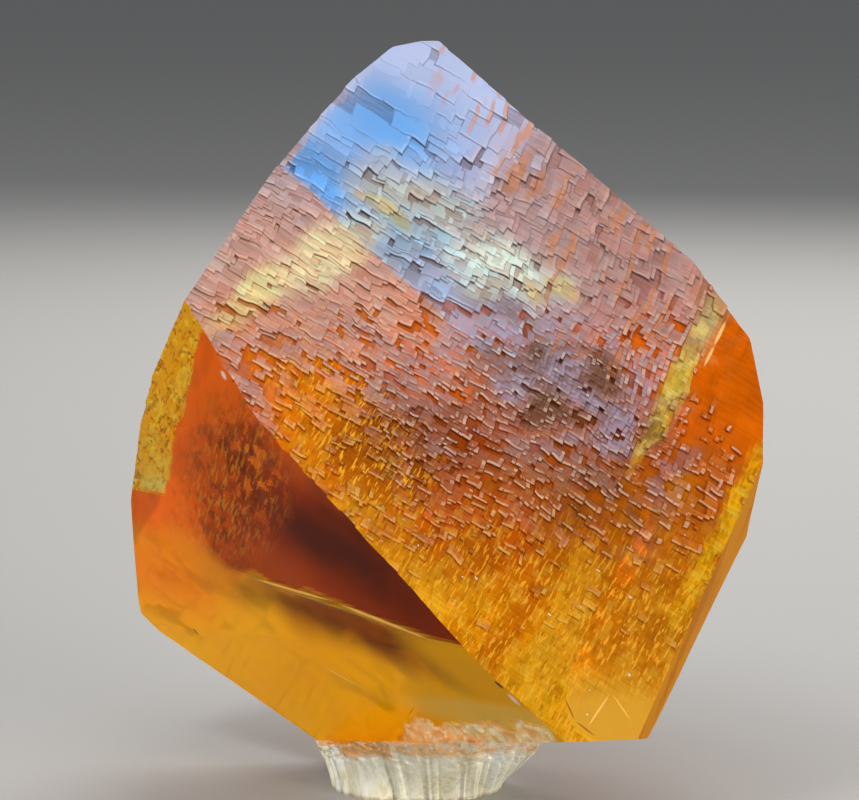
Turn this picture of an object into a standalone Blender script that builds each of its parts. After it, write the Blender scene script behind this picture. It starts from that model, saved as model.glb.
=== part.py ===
"""A honey calcite crystal on the stump of pale matrix that it grew from.

The crystal is a blunt rhombohedron: a block cut by named facets, whose big front
face and back face are staircases of flat growth plates. The stump below it is a
fluted column of fibrous rock, cut flat underneath, that cups the crystal's lower tip.

Axes: +Z up, the big plated face looks towards -Y, the origin is the middle of the
flat foot. Blender units are metres; the driving dimensions are in millimetres.
"""
import math
import random

import bmesh
import bpy
from mathutils import Matrix, Vector

MM = 0.001

# ---- crystal -------------------------------------------------------------
# Each facet is (azimuth, elevation, distance): which way it looks, in degrees, with
# azimuth 0 towards the front and 90 towards the right, and how far its plane lies
# from the crystal's middle.
CRYSTAL_MIDDLE = Vector((2.5, 0.0, 38.7))
FACETS = {
    "front": (3, 25, 16.0),
    "front_left": (-48, -24, 22.8),
    "front_left_upper": (-50, -13, 24.4),
    "front_left_lower": (-49, -31, 23.8),
    "front_right": (69, -17, 34.4),
    "upper_right": (133, 31, 17.4),
    "shoulder_right": (116, 26, 22.6),
    "right_upper": (100, 6, 27.8),
    "right": (96, -5, 28.8),
    "right_lower": (98, -27, 29.4),
    "right_heel": (99, -35, 28.6),
    "tip_back": (-152, 61, 31.4),
    "tip_right": (119, 41, 22.6),
    "tip_left": (-117, 43, 26.4),
    "upper_left": (-111, 30, 22.0),
    "shoulder_left": (-100, 26, 24.0),
    "left_upper": (-99, 19, 26.6),
    "left": (-104, 11, 29.2),
    "left_lower": (-107, 3, 33.0),
    "heel": (-105, -65, 38.2),
    "underside": (9, -77, 33.8),
    "back": (-178, -26, 24.0),
    "back_upper": (-161, 26, 24.0),
    "back_lower": (141, -45, 30.0),
}
ROUGH_BLOCK = 160.0         # edge of the block that the facets are cut from
PLATED_FACET_RAISE = 1.6    # plated facets are cut this far out, and the plates trim them back
EDGE_ROUNDING = 0.7
EDGE_ANGLE = 8.0            # degrees: duller edges than this stay as they are

# ---- growth plates -------------------------------------------------------
PLATE_RISER = 0.35          # width of the slope between two plates
PLATE_FIELD = 96.0          # side of the square sheet of plates
PLATE_DEPTH = 90.0          # how far the block under the sheet reaches back
FRONT_PLATE = 2.2           # spacing of the front face's plates
FRONT_STEP = 0.30           # height of one step
FRONT_TURN = -34.0          # degrees: the steps run down to the right
BACK_PLATE = 4.8
BACK_STEP = 0.40
BACK_TURN = 30.0
LEVEL_JITTER = 0.95         # how far, in steps, a plate may stray from the even staircase

# ---- stump ---------------------------------------------------------------
FIT_GAP = 0.3               # clearance between the stump and the crystal
STUMP_SIDES = 72
STUMP_RINGS = 6
FOOT_MIDDLE = Vector((-0.2, 0.0))
FOOT_HALF = Vector((8.0, 8.6))
COLLAR_MIDDLE = Vector((2.2, -6.0))
COLLAR_HALF = Vector((17.5, 8.2))   # half length along the crystal's lower edge, half width
COLLAR_TURN = -56.2         # degrees: the collar runs along the crystal's lower front edge
COLLAR_LIP = 2.4            # how far the collar climbs past the crystal's underside
FLUTE_DEPTH = 0.35
FLUTE_FADE = 0.5            # flutes are this much weaker at the foot


def facet_normal(azimuth, elevation):
    az, el = math.radians(azimuth), math.radians(elevation)
    return Vector((math.sin(az) * math.cos(el), -math.cos(az) * math.cos(el), math.sin(el)))


def facet_plane(name, grow=0.0):
    """A point on the facet's plane and its outward normal, in millimetres."""
    azimuth, elevation, distance = FACETS[name]
    normal = facet_normal(azimuth, elevation)
    return CRYSTAL_MIDDLE + normal * (distance + grow), normal


def collection(name):
    made = bpy.data.collections.new(name)
    bpy.context.scene.collection.children.link(made)
    return made


def add_object(name, bm, into):
    """Turn a bmesh in millimetres into an object in metres."""
    bmesh.ops.scale(bm, verts=bm.verts, vec=(MM, MM, MM))
    bmesh.ops.recalc_face_normals(bm, faces=bm.faces)
    mesh = bpy.data.meshes.new(name)
    bm.to_mesh(mesh)
    bm.free()
    made = bpy.data.objects.new(name, mesh)
    into.objects.link(made)
    return made


def as_cutter(cutter):
    cutter.display_type = "WIRE"
    cutter.hide_render = True
    return cutter


def principled(name, colour, roughness, metallic=0.0):
    material = bpy.data.materials.new(name)
    material.use_nodes = True
    shader = material.node_tree.nodes["Principled BSDF"]
    shader.inputs["Base Color"].default_value = (*colour, 1.0)
    shader.inputs["Roughness"].default_value = roughness
    shader.inputs["Metallic"].default_value = metallic
    return material


def boolean(target, cutter, operation):
    cut = target.modifiers.new(operation.title() + " " + cutter.name, "BOOLEAN")
    cut.operation = operation
    cut.solver = "EXACT"
    cut.object = cutter


def faceted_bmesh(grow=0.0, raised=()):
    """The block cut by every facet; raised facets are left standing a little proud."""
    bm = bmesh.new()
    bmesh.ops.create_cube(bm, size=ROUGH_BLOCK, matrix=Matrix.Translation(CRYSTAL_MIDDLE))
    for name in FACETS:
        extra = PLATED_FACET_RAISE if name in raised else 0.0
        point, normal = facet_plane(name, grow + extra)
        cut = bmesh.ops.bisect_plane(
            bm, geom=bm.verts[:] + bm.edges[:] + bm.faces[:],
            plane_co=point, plane_no=normal, clear_outer=True)
        rim = [item for item in cut["geom_cut"] if isinstance(item, bmesh.types.BMEdge)]
        if rim:
            bmesh.ops.holes_fill(bm, edges=rim, sides=len(rim))
    bmesh.ops.remove_doubles(bm, verts=bm.verts, dist=0.01)
    return bm


def plate_line(index, spacing):
    """Place of a grid line: two lines to each plate, one at either end of its flat top."""
    plate, end = divmod(index, 2)
    return plate * spacing + end * (spacing - PLATE_RISER)


def plate_block(name, facet, spacing, step, turn, seed, into):
    """A closed block whose outer side, on the facet, is a staircase of growth plates.

    The plates are parallel, tilted against the facet, and drop a step down to the
    right and down to the left, so that their lower corners stand proud like shingles.
    """
    rng = random.Random(seed)
    plates = int(PLATE_FIELD / spacing)
    lines = 2 * plates
    level = {}
    for column in range(plates):
        for row in range(plates):
            even = column - row
            level[column, row] = round(even + rng.uniform(-LEVEL_JITTER, LEVEL_JITTER))
    bm = bmesh.new()
    bmesh.ops.create_grid(bm, x_segments=lines - 1, y_segments=lines - 1, size=0.5)
    for vert in bm.verts:
        column = round((vert.co.x + 0.5) * (lines - 1))
        row = round((vert.co.y + 0.5) * (lines - 1))
        along = plate_line(column, spacing)
        across = plate_line(row, spacing)
        climb = (along - across) / spacing - level[column // 2, row // 2]
        vert.co = (along - PLATE_FIELD / 2, across - PLATE_FIELD / 2, step * climb)
    bmesh.ops.triangulate(bm, faces=bm.faces)
    pulled = bmesh.ops.extrude_face_region(bm, geom=bm.faces[:])
    for item in pulled["geom"]:
        if isinstance(item, bmesh.types.BMVert):
            item.co.z = -PLATE_DEPTH
    point, normal = facet_plane(facet)
    right = Vector((0.0, 0.0, 1.0)).cross(normal).normalized()
    along_axis = Matrix.Rotation(math.radians(turn), 3, normal) @ right
    across_axis = normal.cross(along_axis)
    frame = Matrix((along_axis, across_axis, normal)).transposed().to_4x4()
    bmesh.ops.transform(bm, matrix=Matrix.Translation(point) @ frame, verts=bm.verts)
    return as_cutter(add_object(name, bm, into))


def crystal(parts, cutters):
    body = add_object("calcite_crystal", faceted_bmesh(raised=("front", "back")), parts)
    rounding = body.modifiers.new("Worn edges", "BEVEL")
    rounding.width = EDGE_ROUNDING * MM
    rounding.segments = 2
    rounding.limit_method = "ANGLE"
    rounding.angle_limit = math.radians(EDGE_ANGLE)
    front = plate_block("front_plates", "front", FRONT_PLATE, FRONT_STEP, FRONT_TURN, 7, cutters)
    back = plate_block("back_plates", "back", BACK_PLATE, BACK_STEP, BACK_TURN, 11, cutters)
    boolean(body, front, "INTERSECT")
    boolean(body, back, "INTERSECT")
    body.data.materials.append(principled("honey_calcite", (0.78, 0.33, 0.05), 0.15))
    return body


def underside_height(x, y):
    """Height of the crystal's underside plane over a point of the foot."""
    point, normal = facet_plane("underside")
    return point.z - (normal.x * (x - point.x) + normal.y * (y - point.y)) / normal.z


def stump(parts, cutters):
    """A fluted column that flares from its foot to a collar along the crystal's lower edge."""
    rng = random.Random(23)
    flute = [rng.uniform(0.3, 1.0) * (1 if side % 2 else -1) for side in range(STUMP_SIDES)]
    bm = bmesh.new()
    bmesh.ops.create_cone(bm, cap_ends=True, segments=STUMP_SIDES, radius1=1.0, radius2=1.0,
                          depth=1.0, matrix=Matrix.Translation((0.0, 0.0, 0.5)))
    for ring in range(1, STUMP_RINGS):
        bmesh.ops.bisect_plane(bm, geom=bm.verts[:] + bm.edges[:] + bm.faces[:],
                               plane_co=(0.0, 0.0, ring / STUMP_RINGS), plane_no=(0.0, 0.0, 1.0))
    for vert in bm.verts:
        share = vert.co.z
        angle = math.atan2(vert.co.y, vert.co.x)
        side = round(angle / math.tau * STUMP_SIDES) % STUMP_SIDES
        ridge = FLUTE_DEPTH * flute[side] * (1.0 - FLUTE_FADE * (1.0 - share))
        out = Vector((vert.co.x, vert.co.y))
        foot = FOOT_MIDDLE + Vector((out.x * FOOT_HALF.x, out.y * FOOT_HALF.y)) + out * ridge
        turn = math.radians(COLLAR_TURN)
        along = out.x * math.cos(turn) + out.y * math.sin(turn)
        across = -out.x * math.sin(turn) + out.y * math.cos(turn)
        spread = Vector((along * COLLAR_HALF.x, across * COLLAR_HALF.y))
        spread.rotate(Matrix.Rotation(turn, 2))
        collar = COLLAR_MIDDLE + spread + out * ridge
        flare = share ** 1.4
        place = foot.lerp(collar, flare)
        top = underside_height(place.x, place.y) + COLLAR_LIP
        vert.co = (place.x, place.y, share * top)
    body = add_object("matrix_base", bm, parts)
    hollow = add_object("crystal_seat", faceted_bmesh(grow=FIT_GAP), cutters)
    boolean(body, as_cutter(hollow), "DIFFERENCE")
    body.data.materials.append(principled("pale_matrix", (0.80, 0.74, 0.66), 0.85))
    return body


def main():
    for old in list(bpy.data.objects):
        bpy.data.objects.remove(old, do_unlink=True)
    parts = collection("honey_calcite_on_matrix")
    cutters = collection("cutters")
    crystal(parts, cutters)
    stump(parts, cutters)


main()
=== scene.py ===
# %% [markdown]
# # A honey calcite crystal on its stump of matrix
# The finished piece is one blunt calcite rhombohedron, honey amber and see-through, whose
# big front face is covered in thousands of tiny overlapping growth plates. It stands on
# a short stump of pale fibrous rock. This lesson starts from a plain measured model of
# both pieces, the frame, and makes the surfaces that the eye sees.

# %% Load the frame
import math

import bpy
import numpy as np
from mathutils import Matrix, Vector


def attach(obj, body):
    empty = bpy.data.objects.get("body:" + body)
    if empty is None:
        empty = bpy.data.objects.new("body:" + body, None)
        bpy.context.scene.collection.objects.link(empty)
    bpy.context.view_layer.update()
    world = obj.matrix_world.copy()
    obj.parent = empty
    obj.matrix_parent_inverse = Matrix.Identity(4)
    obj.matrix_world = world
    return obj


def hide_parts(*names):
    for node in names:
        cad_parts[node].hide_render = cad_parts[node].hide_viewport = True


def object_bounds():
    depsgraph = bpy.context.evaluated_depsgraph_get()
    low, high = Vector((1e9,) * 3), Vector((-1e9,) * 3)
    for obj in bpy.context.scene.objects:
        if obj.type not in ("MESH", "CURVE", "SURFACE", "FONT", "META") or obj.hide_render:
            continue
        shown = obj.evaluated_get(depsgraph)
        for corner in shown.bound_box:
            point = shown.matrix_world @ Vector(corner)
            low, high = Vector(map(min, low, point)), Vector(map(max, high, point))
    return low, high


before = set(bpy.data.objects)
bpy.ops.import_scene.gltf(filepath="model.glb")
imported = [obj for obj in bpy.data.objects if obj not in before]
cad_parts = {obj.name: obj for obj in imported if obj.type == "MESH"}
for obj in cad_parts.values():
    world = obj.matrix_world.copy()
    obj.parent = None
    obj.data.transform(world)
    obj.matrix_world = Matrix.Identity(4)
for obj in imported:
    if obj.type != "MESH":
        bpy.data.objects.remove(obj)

cad_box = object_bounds()
print("nodes:", sorted(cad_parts), "box:", cad_box)

# %% [markdown]
# ## Millimetres and facets
# The object is smaller than a fist, so sizes here are written in millimetres and turned
# into metres at the last moment. Each crystal face is named and described the way a
# mineralogist would: which way it looks, and how far its plane lies from the middle.

# %% Units, facets and their planes
MM = 0.001
CRYSTAL_MIDDLE = Vector((2.5, 0.0, 38.7))
FACETS = {      # azimuth (0 front, 90 right), elevation, distance in millimetres
    "front": (3, 25, 16.0),
    "front_left": (-48, -24, 22.8),
    "front_left_upper": (-50, -13, 24.4),
    "front_left_lower": (-47.3, -29.6, 24.1),
    "front_right": (69, -17, 34.4),
    "upper_right": (133.3, 30.3, 17.4),
    "shoulder_right": (116, 26, 22.6),
    "right_upper": (100, 6, 27.8),
    "right": (96, -5, 28.8),
    "right_lower": (98, -27, 29.4),
    "right_heel": (99, -35, 28.6),
    "tip_back": (-152, 61, 31.4),
    "tip_right": (118.3, 40.1, 22.7),
    "tip_left": (-117.7, 40.9, 25.8),
    "upper_left": (-114.9, 29.8, 21.6),
    "shoulder_left": (-99.0, 31.1, 24.9),
    "left_upper": (-99.2, 18.5, 26.9),
    "left": (-104.2, 10.5, 29.4),
    "left_lower": (-107.0, 3.3, 32.8),
    "heel": (-94.6, -62.6, 37.3),
    "underside": (9, -77, 33.8),
    "back": (-178.3, -25.9, 24.3),
    "back_upper": (-161, 26, 24.0),
    "back_lower": (141, -45, 30.0),
}


def direction(azimuth, elevation):
    """The unit vector towards an azimuth and an elevation, both in degrees."""
    az, el = math.radians(azimuth), math.radians(elevation)
    return Vector((math.sin(az) * math.cos(el), -math.cos(az) * math.cos(el), math.sin(el)))


def facet_frame(name):
    """The facet's middle, its axis to the right, its axis up the slope, and its normal."""
    azimuth, elevation, distance = FACETS[name]
    normal = direction(azimuth, elevation)
    right = Vector((0.0, 0.0, 1.0)).cross(normal).normalized()
    return CRYSTAL_MIDDLE + normal * distance, right, normal.cross(right), normal


print(len(FACETS), "facets")

# %% [markdown]
# ## Camera
# A small piece is looked at from a little above its middle with a long lens, so that the
# faces stay nearly parallel.

# %% Camera
CAMERA_ELEVATION = 8.0
CAMERA_DISTANCE = 330.0
CAMERA_AIM = Vector((1.45, 0.0, 38.9))
CAMERA_LENS = 138.3

away = direction(0.0, CAMERA_ELEVATION)
bpy.ops.object.camera_add(location=(CAMERA_AIM + away * CAMERA_DISTANCE) * MM)
camera = bpy.context.object
camera.rotation_euler = (-away).to_track_quat("-Z", "Y").to_euler()
camera.data.lens = CAMERA_LENS
camera.data.sensor_width = 36.0
camera.data.clip_start = 0.01
camera.data.dof.use_dof = False
bpy.context.scene.camera = camera
print("camera at", tuple(round(c, 3) for c in camera.location))

# %% [markdown]
# ## Floor and light
# The floor is one pale plane. One large soft light hangs high in front, where the growth
# plates mirror it, and one stands behind, so that light also comes to the eye through the
# crystal, which is what makes honey calcite glow. Three smaller ones light it from the
# upper left, the lower left and the lower right.

# %% Floor and lights


def linear(red, green, blue):
    """A colour, 0 to 255, as the linear numbers that shaders use."""
    return tuple(((c / 255.0 + 0.055) / 1.055) ** 2.4 for c in (red, green, blue)) + (1.0,)


def new_finish(name):
    """A new material, its node tree and its main shader."""
    finish = bpy.data.materials.new(name)
    finish.use_nodes = True
    return finish, finish.node_tree, finish.node_tree.nodes["Principled BSDF"]


bpy.ops.mesh.primitive_plane_add(size=24.0, location=(0.0, 0.0, 0.0))
floor = bpy.context.object
floor.name = "floor"
floor_paint, _, floor_shader = new_finish("pale_floor")
floor_shader.inputs["Base Color"].default_value = linear(166, 165, 163)
floor_shader.inputs["Roughness"].default_value = 0.7
floor.data.materials.append(floor_paint)


def soft_light(name, azimuth, elevation, distance, size, power, colour):
    """A square studio light that looks at the crystal's middle."""
    way = direction(azimuth, elevation)
    bpy.ops.object.light_add(type="AREA", location=(CRYSTAL_MIDDLE * MM + way * distance))
    lamp = bpy.context.object
    lamp.name = name
    lamp.rotation_euler = (-way).to_track_quat("-Z", "Y").to_euler()
    lamp.data.shape = "SQUARE"
    lamp.data.size = size
    lamp.data.energy = power
    lamp.data.color = colour
    return lamp


# name, azimuth, elevation, metres away, side in metres, watts, colour
soft_light("plate_light", 6, 76, 0.90, 0.95, 3.6, (0.95, 0.97, 1.0))
soft_light("key_light", -38, 52, 0.80, 0.22, 1.9, (1.0, 0.98, 0.95))
soft_light("glow_light", 168, 38, 0.60, 0.40, 2.4, (1.0, 0.97, 0.92))
soft_light("side_light", -40, 8, 0.85, 0.50, 1.9, (1.0, 0.98, 0.96))
soft_light("foot_light", 46, 3, 0.80, 0.30, 6.2, (1.0, 0.99, 0.97))
world = bpy.data.worlds.new("pale_room")
bpy.context.scene.world = world
world.use_nodes = True
world.node_tree.nodes["Background"].inputs["Color"].default_value = (0.86, 0.88, 0.92, 1.0)
world.node_tree.nodes["Background"].inputs["Strength"].default_value = 0.26
bpy.context.scene.view_settings.view_transform = "Standard"

# %% [markdown]
# ## The crystal's block
# A crystal face is a flat plane, so the body starts as a cube larger than the piece, and
# each facet bisects it in edit mode, throws the outer part away and fills the cut. The faces
# that will carry growth plates are cut a little too far out; the plates trim them later.

# %% Cut the block
ROUGH_BLOCK = 160.0
PROUD = {       # millimetres that a facet stands proud until its sheet trims it
    "front": 1.2, "back": 1.2, "upper_right": 1.0, "upper_left": 1.0, "front_left": 1.0,
    "front_left_upper": 1.0, "front_left_lower": 1.0, "front_right": 0.8,
}
EDGE_WEAR = 0.7
DULL_EDGE = math.radians(8.0)       # edges duller than this stay as they are


def select_all_of(piece):
    """Deselect everything, make the piece active and open it in edit mode, all selected."""
    bpy.ops.object.select_all(action="DESELECT")
    bpy.context.view_layer.objects.active = piece
    piece.select_set(True)
    bpy.ops.object.mode_set(mode="EDIT")
    bpy.ops.mesh.select_all(action="SELECT")


def apply_all(piece):
    """Apply every modifier of the piece, top to bottom."""
    bpy.ops.object.select_all(action="DESELECT")
    bpy.context.view_layer.objects.active = piece
    piece.select_set(True)
    for modifier in list(piece.modifiers):
        bpy.ops.object.modifier_apply(modifier=modifier.name)


def cut_block(name, proud, grow=0.0):
    """A cube bisected by every facet, in metres, with some facets left standing proud."""
    bpy.ops.object.select_all(action="DESELECT")
    bpy.ops.mesh.primitive_cube_add(size=ROUGH_BLOCK * MM, location=CRYSTAL_MIDDLE * MM)
    block = bpy.context.object
    block.name = name
    bpy.ops.object.transform_apply(location=True, rotation=True, scale=True)
    bpy.ops.object.mode_set(mode="EDIT")
    for facet in FACETS:
        point, _, _, normal = facet_frame(facet)
        bpy.ops.mesh.select_all(action="SELECT")
        bpy.ops.mesh.bisect(plane_co=(point + normal * (proud.get(facet, 0.0) + grow)) * MM,
                            plane_no=normal, use_fill=True, clear_outer=True)
    bpy.ops.mesh.select_all(action="SELECT")
    bpy.ops.mesh.remove_doubles(threshold=0.01 * MM)
    bpy.ops.object.mode_set(mode="OBJECT")
    return block


crystal = cut_block("crystal", PROUD)
wear = crystal.modifiers.new("Worn edges", "BEVEL")
wear.width = EDGE_WEAR * MM
wear.segments = 2
wear.limit_method = "ANGLE"
wear.angle_limit = DULL_EDGE
apply_all(crystal)
print("block:", len(crystal.data.polygons), "faces")

# %% [markdown]
# ## Brushes
# A mineral's colours lie in zones, clouds and veils. Each zone here is a soft oval or one side of
# a straight line, placed in millimetres on its own face: s runs to the right and t up the slope,
# from the facet's middle. Colours are laid over each other zone by zone, as with a brush, and the
# result is kept on the mesh, face by face, where the finish can read it.

# %% Brushes


def soft_step(value, low, high):
    """0 below low, 1 above high, and a smooth ramp between."""
    x = np.clip((value - low) / (high - low), 0.0, 1.0)
    return x * x * (3.0 - 2.0 * x)


def oval(s, t, middle, radii, turn=0.0, soft=0.5):
    """1 inside a turned oval, 0 outside."""
    a = math.radians(turn)
    x = ((s - middle[0]) * math.cos(a) + (t - middle[1]) * math.sin(a)) / radii[0]
    y = ((t - middle[1]) * math.cos(a) - (s - middle[0]) * math.sin(a)) / radii[1]
    return 1.0 - soft_step(np.hypot(x, y), 1.0 - soft, 1.0 + soft)


def left_of(s, t, point, heading, soft=0.5):
    """1 on the left of a line that runs through a point on a heading, in degrees."""
    a = math.radians(heading)
    return soft_step((t - point[1]) * math.cos(a) - (s - point[0]) * math.sin(a), -soft, soft)


def lay(under, share, over):
    """Lay one colour over another by a share from 0 to 1, place by place."""
    share = np.clip(share, 0.0, 1.0)[:, None]
    return under * (1.0 - share) + np.asarray(over)[..., :3] * share


def wash(places, *shade):
    """One even colour for as many places as there are."""
    return np.tile(np.array(linear(*shade)[:3]), (len(places), 1))


def lay_ovals(colour, s, t, share, zones):
    """Lay soft ovals of colour over each other.

    A zone is its strength, middle, radii, turn, softness and colour.
    """
    for strength, middle, radii, turn, soft, shade in zones:
        colour = lay(colour, strength * share * oval(s, t, middle, radii, turn, soft),
                     linear(*shade))
    return colour


# %% [markdown]
# Nothing in a stone is even, so gentle random waves bend the zones' edges and break up
# their colours.

# %% Waves and paint
WAVE_CELLS = 61             # the random grid of a wave pattern repeats after so many cells
FAR_OFF = 700.0             # moves every place to the positive side of that grid


def waves(rng, s, t, size, stretch=1.0, turn=0.0):
    """Gentle random waves, -1 to 1, size apart; stretch makes them longer along the turn."""
    a = math.radians(turn)
    x = (s * math.cos(a) + t * math.sin(a)) / (size * stretch) + FAR_OFF
    y = (t * math.cos(a) - s * math.sin(a)) / size + FAR_OFF
    grid = rng.uniform(-1.0, 1.0, (WAVE_CELLS, WAVE_CELLS))
    i, j = x.astype(int), y.astype(int)
    u, v = x - i, y - j
    u, v = u * u * (3 - 2 * u), v * v * (3 - 2 * v)
    i, j = i % (WAVE_CELLS - 1), j % (WAVE_CELLS - 1)
    low = grid[i, j] * (1 - u) + grid[i + 1, j] * u
    high = grid[i, j + 1] * (1 - u) + grid[i + 1, j + 1] * u
    return low * (1 - v) + high * v


def keep_paint(mesh, colour, clear, rough, glint=0.0):
    """Store colour, clearness, roughness and glints on the mesh, one value for each face."""
    faces = len(mesh.polygons)
    layer = mesh.attributes.new("paint", "FLOAT_COLOR", "FACE")
    filled = np.ones((faces, 4), np.float32)
    filled[:, :3] = colour
    layer.data.foreach_set("color", filled.ravel())
    for name, values in (("clear", clear), ("rough", rough), ("glint", glint)):
        layer = mesh.attributes.new(name, "FLOAT", "FACE")
        layer.data.foreach_set("value", np.broadcast_to(values, faces).astype(np.float32))


print("brushes ready")

# %% [markdown]
# ## Growth plates
# Calcite grows in thin layers. Each layer stops at ledges that follow the lattice, whose two
# directions are not quite square, so the face becomes a pile of small overlapping plates,
# tipped like roof shingles, whose lower corners stand proud. A plate is described by its
# lower corner, its length and height along the two directions, and the fall from that corner
# to its far edges. Where plates overlap, the higher one shows, exactly as in a real pile.

# %% Sheets that carry relief
LEDGE_WIDTH = 0.12          # the steep side of a plate takes this much of the sheet
CLEAVAGE = 103.0            # degrees between the two directions of the ledges
BLOCK_DEPTH = 95.0          # how far the block under a sheet reaches inwards


def rows_of_three(rows, name):
    """One property of a mesh's points or faces, a row of x, y and z for each."""
    values = np.zeros(len(rows) * 3)
    rows.foreach_get(name, values)
    return values.reshape(-1, 3)


def add_sheet(name, columns, rows):
    """A flat grid from -0.5 to 0.5, and where its points and the middles of its faces lie."""
    bpy.ops.object.select_all(action="DESELECT")
    bpy.ops.mesh.primitive_grid_add(x_subdivisions=columns, y_subdivisions=rows, size=1.0)
    sheet = bpy.context.object
    sheet.name = name
    points = rows_of_three(sheet.data.vertices, "co")
    return sheet, points, rows_of_three(sheet.data.polygons, "center")


def lay_on_facet(sheet, facet, s, t, height):
    """Move the sheet's points onto the facet and close it into a block that reaches inwards."""
    point, right, up, normal = facet_frame(facet)
    outer = np.stack([s, t, height], axis=1) @ np.array([right, up, normal]) + np.array(point)
    sheet.data.vertices.foreach_set("co", (outer * MM).ravel())
    select_all_of(sheet)
    bpy.ops.mesh.quads_convert_to_tris(quad_method="FIXED", ngon_method="BEAUTY")
    bpy.ops.mesh.extrude_region_move(
        TRANSFORM_OT_translate={"value": tuple(-normal * BLOCK_DEPTH * MM)})
    bpy.ops.mesh.select_all(action="SELECT")
    bpy.ops.mesh.normals_make_consistent(inside=False)
    bpy.ops.object.mode_set(mode="OBJECT")


def trim(piece, cutter, operation="INTERSECT"):
    """Cut the piece with the closed block and throw the block away."""
    cut = piece.modifiers.new("Trim", "BOOLEAN")
    cut.operation = operation
    cut.solver = "MANIFOLD"
    cut.object = cutter
    apply_all(piece)
    bpy.data.objects.remove(cutter, do_unlink=True)
    if len(piece.data.polygons) == 0:
        raise RuntimeError("the cut removed the whole piece")
    print(piece.name, "after the cut:", len(piece.data.polygons), "faces")


# %% [markdown]
# The sheet's lines come in pairs, a plate's width apart and then a ledge's width apart, so
# every ledge is a crisp narrow slope and every plate top is flat. Slow waves then push the
# whole lattice about a little, because no real crystal keeps its ledges dead straight.

# %% Scatter plates
TRIES = 70000               # places tried as a plate's lower corner
OVERLAP = 1.3               # how much more than its own sides a plate's mean area covers
FULL_COVER = 0.998
SIDES_VARY = (0.45, 1.8)    # a plate's sides against those that the rule asks for
STEEPEST = 0.11             # the most that a calm plate falls, for each millimetre
TILT_VARIES = 0.03


def scatter_plates(rng, size, place, rule):
    """Lower corners for plates, as many as it takes to cover the share the rule asks for."""
    tries = rng.uniform(-0.5, 0.5, (TRIES, 2)) * np.array(size[:2])
    long_side, high_side, cover = rule(*place(tries[:, 0], tries[:, 1]))[:3]
    wanted = -np.log(1.0 - np.minimum(cover, FULL_COVER)) / (OVERLAP * long_side * high_side)
    chance = wanted * size[0] * size[1] / len(tries)
    return tries[rng.uniform(size=len(tries)) < chance]


def choose_plates(rng, size, place, rule):
    """Each plate's lower corner, its two sides, its two falls and its corner's height."""
    corners = scatter_plates(rng, size, place, rule)
    count = len(corners)
    long_side, high_side, _, rise, unruly = rule(*place(corners[:, 0], corners[:, 1]))
    sides = [long_side * rng.uniform(*SIDES_VARY, count)]
    sides.append(high_side * rng.uniform(*SIDES_VARY, count))
    falls = []
    for side in sides:
        calm = np.minimum(STEEPEST, 0.6 * rise / side)
        falls.append(calm + rng.normal(0, TILT_VARIES, count) * unruly)
    top = rise * (0.45 + rng.normal(0.0, 0.20, count) * (0.7 + 0.3 * unruly))
    return corners, sides, falls, top


# %% [markdown]
# The plates are then laid on the sheet one by one. A plate covers the cells behind its
# corner, and a cell keeps the plate that lies highest there.

# %% Stack plates
ALONG, ACROSS = 0, 1        # the two directions of the sheet
DEEP_DOWN = -9.0            # a height that lies below every plate


def cell_middles(length, spacing):
    """Where the middles of a sheet's cells lie along one of its sides."""
    return (np.arange(int(length / spacing)) + 0.5) * spacing - length / 2


def stack_plates(tips, sides, falls, top, cells, spacing):
    """The number of the plate that shows in each cell, -1 where none does."""
    owner = np.full((len(cells[ALONG]), len(cells[ACROSS])), -1)
    height_so_far = np.full(owner.shape, DEEP_DOWN)
    for k in range(len(top)):
        column, row = tips[ALONG][k], tips[ACROSS][k]
        wide = int(round(sides[ALONG][k] / spacing[ALONG]))
        tall = max(1, int(round(sides[ACROSS][k] / spacing[ACROSS])))
        here = (slice(max(0, column - wide + 1), column + 1),
                slice(row, min(len(cells[ACROSS]), row + tall)))
        away_along = cells[ALONG][column] - cells[ALONG][here[ALONG]]
        away_across = cells[ACROSS][here[ACROSS]] - cells[ACROSS][row]
        plate = (top[k] - falls[ALONG][k] * away_along[:, None]
                 - falls[ACROSS][k] * away_across[None, :])
        higher = plate > height_so_far[here]
        height_so_far[here] = np.where(higher, plate, height_so_far[here])
        owner[here] = np.where(higher, k, owner[here])
    return owner


def read_ledges(grid, i, j):
    """How steep each face of the sheet falls, and 1 where it is a plate's lower rim."""
    corners = np.stack([grid[i, j], grid[i + 1, j], grid[i, j + 1], grid[i + 1, j + 1]])
    drop = corners.max(axis=0) - corners.min(axis=0)
    shade = drop * np.where(j % 2 == 1, 1.0, 0.5 * (i % 2))
    below = grid[i, j] - grid[i, np.maximum(j - 1, 0)]
    beside = grid[i + 1, j] - grid[np.minimum(i + 2, len(grid) - 1), j]
    lip = np.maximum((j % 2 == 0) * below, (i % 2 == 0) * 0.6 * beside)
    return shade, soft_step(lip, 0.03, 0.15) * (drop < 0.06)


# %% [markdown]
# Last, the sheet's points take the height of the plate that shows, or of the rough ground
# between the plates, the brush paints the sheet's faces, and the sheet moves onto its facet.

# %% Pile plates on a facet


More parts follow.
